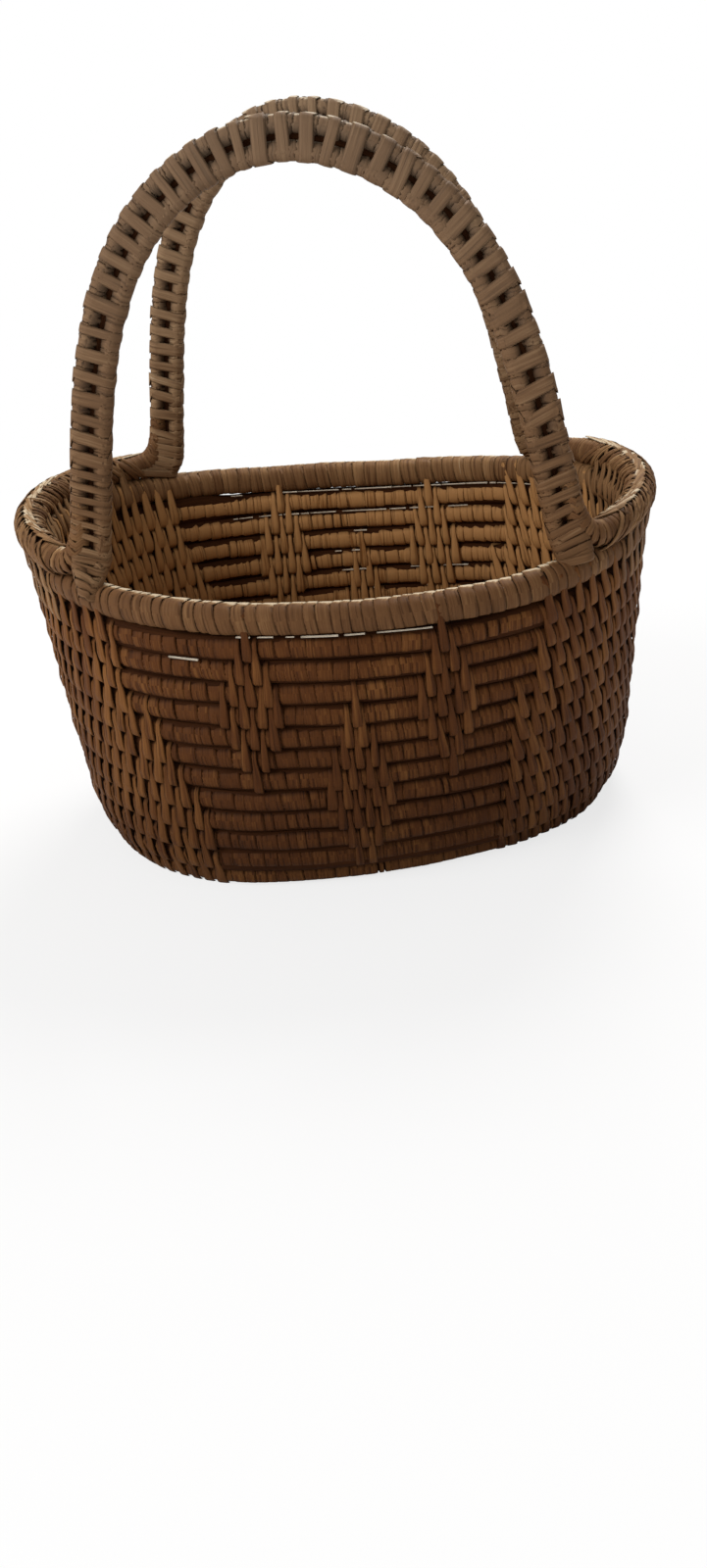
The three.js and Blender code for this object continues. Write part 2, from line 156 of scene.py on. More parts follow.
def coil_point(turns):
    """The coil's centre: a flat spiral, then a wall that steps up one row in each turn and is
    drawn in by a cube in its lowest rows."""
    whole = np.floor(turns)
    share = turns - whole
    angle = angle_at(share)
    step = smooth(share / STEP_SHARE)
    part = turns / BASE_TURNS
    width = 2 * BASE_PITCH * (whole + mix(share, step, part))
    roundness = mix(INNER_ROUNDNESS, BASE_ROUNDNESS, part)
    flat = bowl_point(FLOOR_LENGTH - FLOOR_WIDTH + width, width, roundness, angle,
                      0 * width, COIL_HEIGHT / 2 + 0 * width)
    level = whole - BASE_TURNS + np.sqrt(1 - (1 - step) ** 2)
    rise = level / LEVELS
    roll = np.where(whole == BASE_TURNS, np.sin(np.pi * step) * 2 * ROLL_ROOM, 0)
    wider = roll - 2 * BASE_CURVE * np.maximum(0, 1 - level / CURVED_ROWS) ** 3
    length, width = mix(BASE_LENGTH, RIM_LENGTH, rise) + wider, mix(BASE_WIDTH, RIM_WIDTH, rise) + wider
    roundness = mix(BASE_ROUNDNESS, RIM_ROUNDNESS, rise)
    wall = bowl_point(length, width, roundness, angle, level, COIL_HEIGHT / 2 + level * COIL_PITCH)
    return np.where((turns <= BASE_TURNS)[..., None], flat, wall)


def rim_point(share):
    return bowl_point(RIM_LENGTH, RIM_WIDTH, RIM_ROUNDNESS, angle_at(share),
                      LEVELS + 0 * share, RIM_LEVEL + 0 * share)


def end_rim_point(share):
    grow = 2 * END_RIM_OVERHANG
    x, y = outline(RIM_LENGTH + grow, RIM_WIDTH + grow, RIM_ROUNDNESS, angle_at(share))
    height = rim_point(share)[..., 2] + RIM_THICKNESS / 2 + CLEARANCE + END_RIM_THICKNESS / 2
    return np.stack([x, y, height], -1)


def level_frame(point_at, place):
    """Directions of a nearly level line: along it, level outwards and up."""
    near = 1e-4
    along = unit(point_at(place + near) - point_at(place - near))
    out = unit(np.cross(UP, along) * [1, 1, 0])
    return along, out, np.broadcast_to(UP, out.shape)


# Turns of the coil against its length, as far as the tail under the rim
COIL_TURNS = np.linspace(CORE_START, LAST_TURN + 0.06, 16001)
COIL_PLACES = run_along(coil_point(COIL_TURNS))


def turns_at(place):
    return np.interp(place, COIL_PLACES, COIL_TURNS)


def place_at(turns):
    return np.interp(turns, COIL_TURNS, COIL_PLACES)


def wavy_coil(turns):
    """The coil's centre with the slow waves of hand work."""
    place = place_at(turns)
    _, out, up = level_frame(coil_point, turns)
    on_wall = smooth(turns - BASE_TURNS)
    return (coil_point(turns) + out * ripple(place, 3, 60, 0.7)[..., None]
            + up * (on_wall * ripple(place, 4, 80, 0.6))[..., None])


# Handles


def foot_at(x, riser_length=24):
    """A handle's foot on the rim, and how far from the end's middle, as a share of the way round,
    its riser leaves the end rim."""
    angle, step = np.pi / 4, np.pi / 8
    for _ in range(40):
        angle += step if rim_outline(angle)[0] > x else -step
        step /= 2
    height = RIM_LEVEL + sheer_at(1, x, RIM_LENGTH) + RIM_THICKNESS / 2 + FOOT_ROOM
    share = 0.5 - (np.interp(np.pi - angle, TABLE_TURN, TABLE_LENGTH) + riser_length) / RIM_PERIMETER
    return np.array([x, RIM_WIDTH / 2 * np.sin(angle), height]), share


class Strand:
    """A line that is looked up by length: its centre and two directions of its section."""

    def __init__(self, points, side, face):
        self.points, self.side, self.face = points, side, face
        self.places = run_along(points)
        self.length = self.places[-1]

    def at(self, place):
        centre, side, face = (look_up(place, self.places, rows)
                              for rows in (self.points, self.side, self.face))
        return centre, unit(side), unit(face)


def arch(side, left_place, right_place, top, reach, lean):
    """A handle's middle line: nearly an ellipse, whose legs spread, in the plane through both
    feet and the apex."""
    (left, left_share), (right, right_share) = left_place, right_place
    left_foot, right_foot = left * [-1, side, 1], right * [1, side, 1]
    plane = unit(np.cross(np.array([lean, side * reach, top]) - left_foot, right_foot - left_foot))
    angle = np.linspace(0, np.pi, 1201)
    across = -flatten(np.cos(angle), 2 / CROWN_ROUNDNESS)
    rise = np.abs(np.sin(angle)) ** (2 / LEG_ROUNDNESS)
    spread = HANDLE_SPREAD * ((1 - rise) ** 2 - 1)
    x = across * (np.where(across < 0, left[0], right[0]) + spread) + lean * rise
    z = mix(mix(left[2], right[2], (1 + across) / 2), top, rise)
    y = left_foot[1] - (plane[0] * (x - left_foot[0]) + plane[2] * (z - left_foot[2])) / plane[1]
    points = np.stack([x, y, z], -1)
    places = run_along(points)
    even = np.linspace(0, places[-1], 801)
    points = look_up(even, places, points)
    out = np.cross(unit(np.gradient(points, axis=0)), plane)
    strand = Strand(points, out, np.broadcast_to(plane * side, points.shape))
    strand.shares = (left_share, right_share)
    return strand


ARCHES = {"front": arch(-1, foot_at(101.6), foot_at(103), 316, 60.6, -7),
          "rear": arch(1, foot_at(91), foot_at(101, 42), 314.6, 72.6, -8.6)}


def riser(handle, at_left):
    """From the splice on a handle's outer coil to the end rim: straight, then a cubic curve. Also
    the share of the way round where it lands."""
    line = ARCHES[handle]
    on_arch = lambda length: line.at(np.array(length if at_left else line.length - length))
    top, side, face = on_arch(SPLICE - CLEARANCE)
    top = top + side * HANDLE_SPACING / 2
    low, low_side, _ = on_arch(SPLICE - RISER_STRAIGHT)
    low = low + low_side * HANDLE_SPACING / 2
    middle = 0.0 if at_left else 0.5
    sign = (-1 if handle == "front" else 1) * (1 if at_left else -1)
    share = middle + sign * line.shares[0 if at_left else 1]
    landing = end_rim_point(np.array(share))
    ahead = unit(end_rim_point(np.array(share - sign * TANGENT_SHARE)) - landing)
    reach = RISER_FULLNESS * np.linalg.norm(low - landing)
    corners = [low, low - unit(top - low) * reach, landing - ahead * reach, landing]
    t = np.linspace(0, 1, 60)
    curve = np.stack([(1 - t) ** 3, 3 * t * (1 - t) ** 2, 3 * t * t * (1 - t), t ** 3], -1) @ corners
    points = np.concatenate([mix(top, low, np.linspace(0, 1, 20)[:-1, None]), curve])
    swing = smooth(np.linspace(0, 1, len(points)))[:, None]
    out = unit(landing * [1, 1, 0] - [np.sign(landing[0]) * (RIM_LENGTH - RIM_WIDTH) / 2, 0, 0])
    along = unit(np.gradient(points, axis=0))
    sides = square_to(along, unit(mix(side, out, swing)))
    faces = np.cross(sides, along)
    faces = faces * np.sign((faces[0] * face).sum())
    return Strand(points, sides, faces), share


def riser_radius(strand, place):
    """A riser thickens smoothly from the handle's coil to the end rim."""
    return mix(HANDLE_COIL, END_RIM_THICKNESS, smooth(place / strand.length)) / 2


# The risers at each end, by whether it is the left one, and where they leave the end rim
RISERS = {at_left: [riser(handle, at_left) for handle in ARCHES] for at_left in (True, False)}
END_SPANS = {at_left: sorted(share for _, share in both) for at_left, both in RISERS.items()}

# Meshes


def link_object(name, data):
    made = bpy.data.objects.new(name, data)
    bpy.context.scene.collection.objects.link(made)
    return made


def end_caps(count, rows, columns):
    """Quads that close both ends of tubes whose sections have an even number of points."""
    j = np.arange(columns // 2 - 1)
    ring = np.stack([j, columns - 1 - j, columns - 2 - j, j + 1], -1)
    start = np.arange(count)[:, None, None] * rows * columns + ring
    finish = start[..., ::-1] + (rows - 1) * columns
    return np.concatenate([start, finish], 1).reshape(-1, 4)


# Sections of a strip, across and outwards: crowned on one face, or alike on both
CROWNED = np.array([(-1, 0), (-0.62, 1), (0.62, 1), (1, 0)])
LENS = np.array([(-1, 0), (0, 1), (1, 0), (0, -1)])
# How far each strip's fibres are shifted from the last one's, along and across, and the girth
# that a tube's fibres are drawn for
NEXT_RUN, NEXT_WIDTH, TUBE_GIRTH = 37.7, 11.3, 31.4


class Part:
    """The mesh of one piece, added to in batches."""

    def __init__(self):
        self.batches, self.count = [], 0

    def add(self, points, width, run, tone, edge, closed=False, flat_side=-1, turned=False):
        """Tubes of points (tube, place, corner), joined from end to end or else capped, with UV
        `width` across and `run` along. The faces that follow the corner `flat_side` are flat."""
        count, rows, columns = points.shape[:3]
        grid = np.arange(count), np.arange(rows - (not closed)), np.arange(columns)
        n, i, j = (index.ravel() for index in np.meshgrid(*grid, indexing="ij"))
        corner = lambda di, dj: (n * rows + (i + di) % rows) * columns + (j + dj) % columns
        place = lambda di, dj: np.stack([width[n, j + dj], run[n, i + di]], -1)
        around = (0, 0), (1, 0), (1, 1), (0, 1)
        quads = np.stack([corner(*step) for step in around], -1)
        uv = np.stack([place(*step) for step in around], 1)
        rounded = j != flat_side
        if not closed:
            caps = end_caps(count, rows, columns)
            quads = np.concatenate([quads, caps])
            uv = np.concatenate([uv, np.zeros((len(caps), 4, 2))])
            rounded = np.concatenate([rounded, np.zeros(len(caps), bool)])
        if turned:
            quads, uv = quads[:, ::-1], uv[:, ::-1]
        tone, edge = (np.broadcast_to(value, points.shape[:3]).ravel() for value in (tone, edge))
        points, uv = points.reshape(-1, 3), uv.reshape(-1, 2)
        self.batches.append((points, quads + self.count, rounded, uv, tone, edge))
        self.count += len(points)

    def strips(self, centres, normals, half_width, crown, tone, edge, painted_shade=0.0, closed=True,
               section=CROWNED):
        """Strips along rows of centres (strip, place), each one closed body with a section of
        four points that faces the normals. `edge` darkens its edges, and the grooves get painted shade."""
        count, rows = centres.shape[:2]
        after = np.roll(centres, -1, 1)
        along = unit(after - np.roll(centres, 1, 1) if closed else np.gradient(centres, axis=1))
        wide = unit(np.cross(normals, along))
        face = np.cross(along, wide)
        half_width, crown, painted_shade = (np.broadcast_to(value, (count, rows))[..., None]
                                   for value in (half_width, crown, painted_shade))
        across, lift = half_width * section[:, 0], crown * section[:, 1]
        points = (centres[:, :, None] + wide[:, :, None] * across[..., None]
                  + face[:, :, None] * lift[..., None])
        step = np.linalg.norm(after - centres, axis=2)
        number = np.arange(count)[:, None]
        run = np.concatenate([np.zeros((count, 1)), np.cumsum(step, 1)], 1) + number * NEXT_RUN
        width = across.mean(1)[:, [0, 1, 2, 3, 0]] + number * NEXT_WIDTH
        # Dark edges, and the painted shade of the grooves
        dark = np.clip(edge * (section[:, 1] == 0) + painted_shade, 0, 1)
        flat_side = 3 if section is CROWNED else -1
        self.add(points, width, run, np.asarray(tone)[..., None], dark, closed, flat_side)

    def tube(self, centres, side, face, a, b, sides=12, tone=0.3, square=0.9):
        """A tube round a line: half axes a and b, cosine and sine raised to `square`."""
        angle = np.arange(sides) * 2 * np.pi / sides
        a, b = (np.broadcast_to(v, len(centres))[:, None, None] for v in (a, b))
        points = (centres[:, None] + side[:, None] * a * flatten(np.cos(angle), square)[:, None]
                  + face[:, None] * b * flatten(np.sin(angle), square)[:, None])
        width = np.arange(sides + 1) * TUBE_GIRTH / sides
        along, around = points[1, 0] - points[0, 0], points[0, 1] - points[0, 0]
        inside_out = np.cross(along, around) @ (side[0] + face[0]) < 0
        self.add(points[None], width[None], run_along(centres)[None], tone, 0, turned=inside_out)

    def build(self, name, material, *nodes, slot="leaf_strip"):
        """The piece as an object in metres that rides on the basket."""
        points, quads, rounded, uv, tone, edge = (np.concatenate(kind) for kind in zip(*self.batches))
        points = points * MM
        points[:, 2] = np.maximum(points[:, 2], 0)
        mesh = bpy.data.meshes.new(name)
        mesh.vertices.add(len(points))
        mesh.vertices.foreach_set("co", points.astype(np.float32).ravel())
        mesh.loops.add(quads.size)
        mesh.loops.foreach_set("vertex_index", quads.astype(np.int32).ravel())
        mesh.polygons.add(len(quads))
        mesh.polygons.foreach_set("loop_start", np.arange(len(quads), dtype=np.int32) * 4)
        mesh.polygons.foreach_set("use_smooth", rounded)
        layer = mesh.uv_layers.new(name="strip")
        layer.data.foreach_set("uv", uv.astype(np.float32).ravel() * 0.01)
        # The attribute edge holds the strips' dark edges and the painted shade of their grooves
        for label, values in (("tone", tone), ("edge", edge)):
            attribute = mesh.attributes.new(label, "FLOAT", "POINT")
            attribute.data.foreach_set("value", values.astype(np.float32))
        mesh.update(calc_edges=True)
        mesh.validate()
        mesh.materials.append(material)
        piece = link_object(name, mesh)
        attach(piece, "root")
        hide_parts(*nodes)


def ring_angles(count):
    return (np.arange(count) + 0.5) * 2 * np.pi / count


def ring_paths(line_at, places, a, b, slant, count, square):
    """Closed paths round one strand: squared ellipses of half axes a and b. They run ahead by
    `slant` at the top of the outer side and behind at the bottom, as wound turns do."""
    angle = ring_angles(count)
    cos, sin = flatten(np.cos(angle), square), flatten(np.sin(angle), square)
    shift = np.asarray(slant)[..., None] * np.sin(angle) * np.sign(np.cos(angle))
    centre, side, face = line_at(places[:, None] + shift)
    a, b = (np.asarray(v)[..., None] * np.ones(count) for v in (a, b))
    points = centre + side * (a * cos)[..., None] + face * (b * sin)[..., None]
    normals = unit(side * (cos / a)[..., None] + face * (sin / b)[..., None])
    return points, normals


def side_by_side(start, end, widths):
    """Middles and widths of turns laid side by side."""
    middles = start + np.cumsum(widths) - widths / 2
    keep = middles < end
    return middles[keep], widths[keep]


# Closed paths round two strands that lie on each other, straight past the groove between. The
# height goes from -1 at the bottom of a path to 1 at its top, and the side is 1 outside.
PAIR_TURN = np.radians([-90, -60, -30, 0, 0, 0, 30, 60, 90, 120, 150, 180, 180, 180, 210, 240])
PAIR_SHARE = np.array([0, 0, 0, 0, 0.5, 1, 1, 1, 1, 1, 1, 1, 0.5, 0, 0, 0])
PAIR_SIDE = np.where(np.cos(PAIR_TURN) > -0.01, 1.0, -1.0)
PAIR_HEIGHT = np.sin(PAIR_TURN) * 0.5 + PAIR_SHARE - 0.5


def pair_paths(lower_at, upper_at, along_at, places, radii, slant, dip, square):
    """Points and normals of one path at each place. `slant` is how far it runs ahead at its
    outer top and inner bottom, `dip` how deep it is drawn in at the groove."""
    at = places[:, None] + np.asarray(slant)[..., None] * PAIR_HEIGHT * PAIR_SIDE
    lower, upper, along = lower_at(at), upper_at(at), along_at(at)
    e = square_to(along, unit(upper - lower))
    f = np.cross(e, along)
    low, high = (np.broadcast_to(radius, len(places))[:, None] for radius in radii)
    radius = mix(low, high, PAIR_SHARE)
    reach = radius - (PAIR_SHARE == 0.5) * np.asarray(dip)[..., None]
    cos, sin = np.cos(PAIR_TURN), np.sin(PAIR_TURN)
    points = (mix(lower, upper, PAIR_SHARE[:, None]) + f * (flatten(cos, square) * reach)[..., None]
              + e * (flatten(sin, square) * radius)[..., None])
    return points, f * cos[:, None] + e * sin[:, None]


# Materials


class Value:
    """A socket of a material. Arithmetic on it adds Math nodes."""

    def __init__(self, tree, socket):
        self.tree, self.socket = tree, socket

    def math(self, operation, *values):
        return self.tree.node("Math", dict(enumerate(values)), operation=operation)[0]

    def __add__(self, other):
        return self.math("ADD", self, other)

    def __sub__(self, other):
        return self.math("SUBTRACT", self, other)

    def __rsub__(self, other):
        return self.math("SUBTRACT", other, self)

    def __mul__(self, other):
        return self.math("MULTIPLY", self, other)

    def clip(self):
        return self.math("MINIMUM", self.math("MAXIMUM", self, 0.0), 1.0)


class Finish:
    """The nodes of a material or of the world."""

    def __init__(self, owner):
        self.owner = owner
        owner.use_nodes = True
        self.nodes, self.links = owner.node_tree.nodes, owner.node_tree.links

    def node(self, kind, inputs=None, **settings):
        """Adds a node: its settings first, then the values or links of its sockets."""
        made = self.nodes.new("ShaderNode" + kind)
        for key, value in settings.items():
            setattr(made, key, value)
        for key, value in (inputs or {}).items():
            self.put(made.inputs[key], value)
        return [Value(self, socket) for socket in made.outputs]

    def put(self, socket, value):
        if isinstance(value, Value):
            self.links.new(value.socket, socket)
        else:
            socket.default_value = value

    def surface(self, colour, roughness, height, strength, depth, shine):
        """Links the surface's values; the relief is `height` at a depth in metres."""
        relief = {"Strength": strength, "Distance": depth, "Height": height}
        inputs = self.nodes["Principled BSDF"].inputs
        self.put(inputs["Base Color"], colour)
        self.put(inputs["Roughness"], roughness.clip())
        self.put(inputs["Normal"], self.node("Bump", relief)[0])
        inputs["Specular IOR Level"].default_value = shine
        return self.owner

    def noise(self, vector, scale, detail):
        return self.node("TexNoise", {"Vector": vector, "Scale": scale, "Detail": detail})[0]

    def stretched(self, vector, scale):
        return self.node("VectorMath", {0: vector, 1: scale}, operation="MULTIPLY")[0]

    def blend(self, kind, factor, a, b):
        return self.node("Mix", {0: factor, 6: a, 7: b}, data_type="RGBA", blend_type=kind,
                         clamp_factor=True)[2]

    def ramp(self, factor, *stops):
        """Colours at their places, mixed in between."""
        made = self.node("ValToRGB", {0: factor})[0]
        elements = made.socket.node.color_ramp.elements
        for place, _ in stops[1:-1]:
            elements.new(place)
        for element, (place, colour) in zip(elements, stops):
            element.position, element.color = place, linear(colour)
        return made


def linear(colour):
    """The linear value of a colour written as 0 to 255, and full cover."""
    part = np.array(colour) / 255
    return (*np.where(part <= 0.04045, part / 12.92, ((part + 0.055) / 1.055) ** 2.4), 1)


# How close fibres, streaks and stalks lie across a strip, along it and through it
FIBRE_SCALE, STREAK_SCALE, STALK_SCALE = (230.0, 7.0, 1.0), (85.0, 3.0, 1.0), (90.0, 3.0, 1.0)
GREYED = linear((140, 120, 99))


def leaf_strip(name, dark, middle, pale, highlight_colour, crease_and_shade, low=1.0, high=0.0):
    """Split leaf: fibres and dark creases along a strip, a tone for each strip, darker at its
    edges, with painted shade in its grooves and, by `low`, at the basket's foot, and greyer by
    `high` at the handles' top. Its palest stop is the colour of painted highlights."""
    finish = Finish(bpy.data.materials.new(name))
    uv = finish.node("UVMap", uv_map="strip")[0]
    tone = finish.node("Attribute", attribute_name="tone")[2]
    edge = finish.node("Attribute", attribute_name="edge")[2]
    place = finish.node("TexCoord")[3]
    height = finish.node("SeparateXYZ", {0: place})[2]
    fibres = finish.noise(finish.stretched(uv, FIBRE_SCALE), 1.0, 2.0)
    streaks = finish.noise(finish.stretched(uv, STREAK_SCALE), 1.0, 1.0)
    patches = finish.noise(place, 30.0, 3.0)
    creases = ((0.4 - streaks) * 9.0).clip()
    shade = (tone * 0.5 + (fibres - 0.5) * 0.45 + (streaks - 0.5) * 0.5 + patches * 0.4 + 0.05).clip()
    colour = finish.ramp(shade, (0.0, dark), (0.5, middle), (0.86, pale), (1.0, highlight_colour))
    # The strips' dark edges and the painted shade of their grooves, both held in edge, and the leaf's
    # dark creases are mixed towards one dark colour
    shadow = (edge * 0.9 + creases * 0.35).clip()
    colour = finish.blend("MIX", shadow, colour, linear(crease_and_shade))
    if high > 0:
        near_top = (height * 6.0 - 1.0).clip()
        colour = finish.blend("MIX", near_top * high, colour, GREYED)
    # Painted shade: the leaf is darker towards the floor
    if low < 1:
        painted_floor_shade = (1 - height * 9.0).clip()
        colour = finish.blend("MULTIPLY", painted_floor_shade, colour, (low, low * 0.96, low * 0.93, 1))
    relief = fibres + streaks - creases * 0.6
    return finish.surface(colour, fibres * 0.3 + 0.5, relief, 0.5, 0.0003, 0.1)


def grass_core(name, dark, pale):
    """A bundle of grass: thin stalks along the strand."""
    finish = Finish(bpy.data.materials.new(name))
    uv = finish.node("UVMap", uv_map="strip")[0]
    stalks = finish.noise(finish.stretched(uv, STALK_SCALE), 1.0, 3.0)
    patches = finish.noise(finish.node("TexCoord")[3], 35.0, 2.0)
    shade = (stalks * 1.3 + patches * 0.6 - 0.45).clip()
    colour = finish.ramp(shade, (0.0, dark), (1.0, pale))
    return finish.surface(colour, stalks * 0.2 + 0.7, stalks, 0.8, 0.0006, 0.05)


# Leaf of the wall, darker than that of the rim and handles: its own colour, and painted shade for the
# outside of the wall. Its darkening towards the floor by low is painted shade too.
WALL_LEAF = leaf_strip("wall_leaf", (54, 27, 10), (89, 51, 22), (134, 89, 46), (172, 126, 78),
                       (30, 12, 4), low=0.6)
RIM_LEAF = leaf_strip("rim_leaf", (70, 43, 22), (106, 73, 45), (150, 114, 76), (204, 184, 154),
                      (42, 22, 10))
HANDLE_LEAF = leaf_strip("handle_leaf", (74, 49, 29), (110, 79, 52), (150, 120, 88),
                         (222, 206, 180), (44, 25, 13), high=0.4)
DARK_GRASS = grass_core("dark_grass", (38, 18, 7), (68, 38, 18))
# Painted light: pale stalks that stand for the light seen through the grooves of the wall
SLIT_LIGHT_GRASS = grass_core("slit_light_grass", (196, 180, 156), (232, 222, 204))

# Rows and stitches

chance = np.random.default_rng(20)
STITCHES_PER_TURN, STITCH_LEAN = 100, 3.6
# Painted light: how much paler the inside of the bowl is than the outside, in the walls and at the ends
INSIDE_PAINTED_LIGHT, END_INSIDE_PAINTED_LIGHT = 1.15, 0.25
# Bands of close stitches at the ends: half their share of a turn, and what each row adds
LEFT_BAND, LEFT_WIDER = 0.128, 0.0058
RIGHT_BAND, RIGHT_WIDER = 0.135, 0.0011


def coil_at(place):
    turns = turns_at(place)
    _, out, up = level_frame(coil_point, turns)
    return wavy_coil(turns), out, up


def drift_at(share, rise):
    """How far a place moves along its turn, so that a column of stitches stands upright although
    the outline turns and shifts from the rim to the base."""
    near = 1e-3
    plan = lambda value: rim_outline(angle_at(value))
    point, along = plan(share), unit(plan(share + near) - plan(share - near))
    turned = BASE_TWIST * (point[..., 0] * along[..., 1] - point[..., 1] * along[..., 0])
    return (rise - 1) * (turned + along @ BASE_SHIFT) / RIM_PERIMETER


def turns_on(columns):
    """Turns of the coil at places that count turns, too, but stand in upright columns."""
    return columns + drift_at(columns, np.clip((columns - BASE_TURNS + 0.5) / LEVELS, 0, 1))


def row_of(columns):
    """The row on which a stitch's lower end lies: 0 is the rim, 1 the row under it."""
    return LAST_TURN - np.floor(columns)


def near_left(columns):
    """Whether places are nearer to the left end than to the right one."""
    return np.abs(columns % 1 - 0.5) > 0.25


def in_band(columns, inset=0.0):
    """Where long stitches stand close together round both ends."""
    share, row = columns - np.floor(columns), row_of(columns)
    left = LEFT_BAND + LEFT_WIDER * np.clip(row - 3, 0, 7) - inset
    right = RIGHT_BAND + RIGHT_WIDER * row - inset
    return (np.minimum(share, 1 - share) < left) | (np.abs(share - 0.5) < right)


# Diamonds of long stitches: share of the turn, its lean in a row, pitch in mm and first row
DIAMONDS = [(0.7955, 0.0008, 7.9, 1), (0.7395, 0.0, 7.0, 4), (0.6905, -0.0013, 7.6, 1),
            (0.2045, -0.0008, 7.9, 1), (0.2605, 0.0, 7.0, 4), (0.3095, 0.0013, 7.6, 1)]
DIAMOND_COUNTS = {1: [1, 2, 3, 4, 3, 2, 1], 4: [1, 2, 3, 4, 5, 4, 3, 2]}


def diamond_columns():
    """The places of the stitches of all diamonds, in turns."""
    columns = []
    for centre, lean, pitch, first_row in DIAMONDS:
        for down, count in enumerate(DIAMOND_COUNTS[first_row]):
            middle = LAST_TURN - first_row - down + centre + lean * down
            aside = (np.arange(count) - (count - 1) / 2) * pitch / RIM_PERIMETER
            columns.append(middle + aside)
    return np.concatenate(columns)


def band_columns():
    """The places of the close stitches, from the base up to the end rims. At the left end each
    row stands half a place further on, at the right end they stand under each other."""
    columns = []
    for count, left in ((STITCHES_PER_TURN + 0.5, True), (STITCHES_PER_TURN, False)):
        every = np.arange((BASE_TURNS - 1) * count, (LAST_TURN + 1) * count) / count
        columns.append(every[in_band(every) & (near_left(every) == left)])
    return np.concatenate(columns)


def row_point(columns):
    """The coil in upright columns, and the rim and the end rims above its last row."""
    over = np.floor(columns) - LAST_TURN
    wall = wavy_coil(turns_on(columns - np.clip(over + 1, 0, 2)))
    around = (columns + 0.5) % 1 - 0.5
    end_rim = end_rim_point(np.where(near_left(columns), around, columns % 1))
    on_top = np.where((over < 1)[..., None], rim_point(columns % 1), end_rim)
    return np.where((over < 0)[..., None], wall, on_top)


def row_above(columns):
    return row_point(columns + 1)


def along_row(columns):
    return level_frame(coil_point, turns_on(columns - (columns > LAST_TURN)))[0]


def under_end_rim(columns):
    """Where an end rim lies over the rim."""
    share = columns % 1
    (low, high), (first, last) = END_SPANS.values()
    return (share < high) | (share > low % 1) | ((share > first) & (share < last))


def coil_core():
    """The grass inside the coil, thicker where no light should pass between the rows: under the
    rim near both ends and at the rear left, and at the foot. A stub closes the base's middle."""
    part = Part()
    for first, last in ((CORE_START, BASE_TURNS), (BASE_TURNS, LAST_TURN + 0.12)):
        turns = np.linspace(first, last, int((last - first) * 150))
        _, out, up = level_frame(coil_point, turns)
        tail = 1 - smooth((turns - LAST_TURN) / STEP_SHARE) * 1.2
        half_width = np.where(turns < BASE_TURNS - 0.5, BASE_PITCH / 2 + 1.1, COIL_WIDTH / 2 - 0.5)
        share = turns % 1
        from_end = np.min([share, 1 - share, np.abs(share - 0.5)], 0)
        near_ends, rear_left = smooth((0.175 - from_end) / 0.02), smooth((0.17 - share) / 0.02)
        thicker = ((turns > LAST_TURN - 1) * (0.9 * near_ends + 1.5 * rear_left)
                   + (turns < BASE_TURNS + 1) * 2.0)
        half_height = np.where(turns < BASE_TURNS, COIL_HEIGHT / 2 - 1, COIL_PITCH / 2 + 0.25 + thicker)
        part.tube(wavy_coil(turns), out, up, half_width, half_height * tail, square=0.75)
    start = np.full(5, CORE_START)
    along, out, up = level_frame(coil_point, start)
    stub = wavy_coil(start) - along * np.linspace(7, -2, 5)[:, None]
    part.tube(stub, out, up, BASE_PITCH / 2, COIL_HEIGHT / 2 - 1, square=0.75)
    return part


def coil_wraps(first, last):
    """Plain turns of leaf side by side, left out among close stitches, with a few open joints,
    painted shade in the grooves and painted light inside the bowl."""
    part = Part()
    start, end = place_at(first), place_at(last)
    places, widths = side_by_side(start, end, chance.gamma(6, 0.75, int((end - start) / 3)) + 1.0)
    turns = turns_at(places)
    columns = 2 * turns - turns_on(turns)
    bare = ~(in_band(columns, 0.012) & in_band(columns - 1, 0.012) & (turns > BASE_TURNS))
    places, widths, turns = places[bare], widths[bare], turns[bare]
    count, steps = len(places), 16
    on_base = turns < BASE_TURNS
    outmost, within = on_base & (turns > BASE_TURNS - 1), turns < BASE_TURNS - 1.2
    bulge = ripple(places, 8, 30, 0.35) + chance.normal(0, 0.05, count)
    a = np.where(on_base, BASE_PITCH / 2 + 0.2, COIL_WIDTH / 2) + bulge
    b = COIL_HEIGHT / 2 + np.where(on_base, -0.3, -0.1)
    slant = 0.3 + ripple(places, 9, 25, 0.6) + chance.normal(0, 0.06, count)
    points, normals = ring_paths(coil_at, places, a, b, slant, steps, 0.85)
    open_joint = chance.random(count) < 0.07
    gap = np.where(open_joint, chance.exponential(0.3, count), -0.35)
    outward, upward = np.cos(ring_angles(steps)), np.sin(ring_angles(steps))
    to_next = np.abs(np.where(on_base[:, None], outward, upward))
    to_next = np.where(outmost[:, None] & (outward > 0), np.maximum(upward, 0), to_next)
    # Painted shade towards the grooves, less of it inside
    painted_shade = np.where(outward < 0, 0.6, 0.95) * smooth((to_next - 0.5) / 0.45)
    # Painted light: the base's inner turns and its outermost turn are paler, against the painted shade
    # near the floor, and the inside of the bowl is paler too
    tone = chance.normal(0.47, 0.06, count) + 1.2 * within + 0.3 * outmost
    tone = tone[:, None] + INSIDE_PAINTED_LIGHT * (outward < 0)
    crown = chance.uniform(0.12, 0.2, count)[:, None]
    edge = np.where(open_joint, 0.5, chance.uniform(0, 0.15, count))[:, None, None]
    part.strips(points, normals, (widths / 2 - gap)[:, None], crown, tone, edge, painted_shade)
    return part


